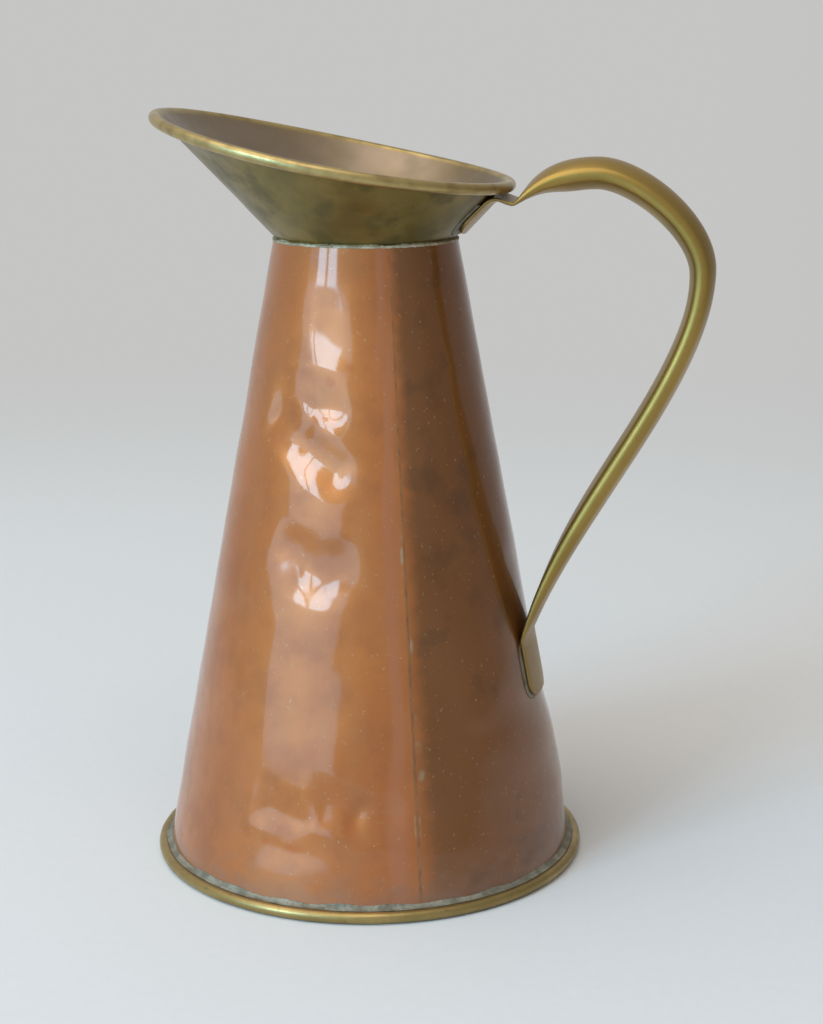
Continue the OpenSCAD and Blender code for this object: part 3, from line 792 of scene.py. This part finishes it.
def make_floor():
    """A plain pale floor, which fades into the backdrop further out."""
    mesh = bpy.data.meshes.new("floor")
    ring = [(1.3 * math.cos(a), 1.3 * math.sin(a), 0) for a in np.linspace(0, 2 * math.pi, 97)[:-1]]
    mesh.from_pydata([(0, 0, 0)] + ring, [], [(0, i + 1, (i + 1) % 96 + 1) for i in range(96)])
    floor = bpy.data.objects.new("floor", mesh)
    bpy.context.scene.collection.objects.link(floor)
    s = Surface("pale_floor", Roughness=0.95)
    grain = s.noise(4, 4)
    s.put(s.shader.inputs["Base Color"], s.blend(grain, (0.66, 0.66, 0.655), (0.70, 0.70, 0.695)))
    flat = s.make("VectorMath", {0: s.place}, operation="LENGTH").outputs["Value"]
    clear = s.make("BsdfTransparent", {})
    shade = s.make("MixShader", {0: s.span(flat, 0.45, 1.2), 1: s.shader.outputs[0], 2: clear.outputs[0]})
    s.put(s.tree.nodes["Material Output"].inputs["Surface"], shade.outputs[0])
    mesh.materials.append(s.material)


def direction(azimuth, elevation):
    a, e = math.radians(azimuth), math.radians(elevation)
    return Vector((math.cos(e) * math.cos(a), math.cos(e) * math.sin(a), math.sin(e)))


def make_world():
    """A pale backdrop all round, darker to the right, the same for every ray."""
    world = bpy.data.worlds.new("world")
    bpy.context.scene.world = world
    world.use_nodes = True
    tree = world.node_tree
    back = tree.nodes["Background"]
    coord = tree.nodes.new("ShaderNodeTexCoord")
    dot = tree.nodes.new("ShaderNodeVectorMath")
    dot.operation = "DOT_PRODUCT"
    tree.links.new(coord.outputs["Generated"], dot.inputs[0])
    dot.inputs[1].default_value = direction(20, 0)
    shade = tree.nodes.new("ShaderNodeMapRange")
    shade.interpolation_type = "SMOOTHSTEP"
    tree.links.new(dot.outputs["Value"], shade.inputs[0])
    for i, value in ((1, 0.3), (2, 0.95), (3, 0.0), (4, 1.0)):
        shade.inputs[i].default_value = value
    tone = tree.nodes.new("ShaderNodeMix")
    tone.data_type = "RGBA"
    tree.links.new(shade.outputs[0], tone.inputs[0])
    tone.inputs[6].default_value = BACKDROP
    tone.inputs[7].default_value = BACKDROP_RIGHT
    tree.links.new(tone.outputs[2], back.inputs[0])
    back.inputs[1].default_value = 1.0


def area_light(name, azimuth, elevation, wide, tall, radiance, colour, distance=2.2):
    """A soft light, wide and tall in degrees seen from the can."""
    data = bpy.data.lights.new(name, "AREA")
    data.shape = "RECTANGLE"
    data.size = 2 * distance * math.tan(math.radians(wide / 2))
    data.size_y = 2 * distance * math.tan(math.radians(tall / 2))
    data.energy = radiance * math.pi * data.size * data.size_y
    data.color = colour
    lamp = bpy.data.objects.new(name, data)
    bpy.context.scene.collection.objects.link(lamp)
    away = direction(azimuth, elevation)
    lamp.location = away * distance + Vector((0, 0, 0.12))
    lamp.rotation_euler = away.to_track_quat("Z", "Y").to_euler()
    lamp.visible_camera = False


def make_lights():
    """A window of two panes, the cool veil below it, and a soft light overhead."""
    area_light("window_left", -132, 25, 10, 24, 12.0, (0.42, 0.73, 1.0))
    area_light("window_right", -119, 25, 10, 24, 12.0, (0.42, 0.73, 1.0))
    for wide, tall in ((48, 34), (36, 28), (22, 22)):
        area_light("window_low_%d" % wide, -125, -2, wide, tall, 2.2, (0.19, 0.60, 1.0))
    area_light("overhead", -128, 66, 60, 50, 1.7, (1.0, 0.93, 0.84))


make_camera()
make_floor()
make_world()
make_lights()
bpy.context.scene.view_settings.view_transform = "Standard"

braze = braze_metal()
cream = solder_metal("neck_solder_metal", (0.50, 0.43, 0.29), (0.28, 0.21, 0.12))
grey = solder_metal("foot_solder_metal", (0.28, 0.26, 0.195), (0.17, 0.15, 0.105))
iron = iron_metal()
make_body(copper_metal(), tinned_metal("tinned_inside"), braze)
make_lip(lip_metal(), braze)
make_foot(foot_metal(), braze)
make_foot_solder(grey)
make_neck_solder(cream)
make_handle(handle_metal())
repaint("bottom", tinned_metal("tinned_bottom_sheet"))
repaint("bottom_solder", grey)
repaint("foot_wire", iron)
repaint("lip_wire", iron)
repaint("handle_top_solder", grey)
repaint("handle_low_solder", grey)
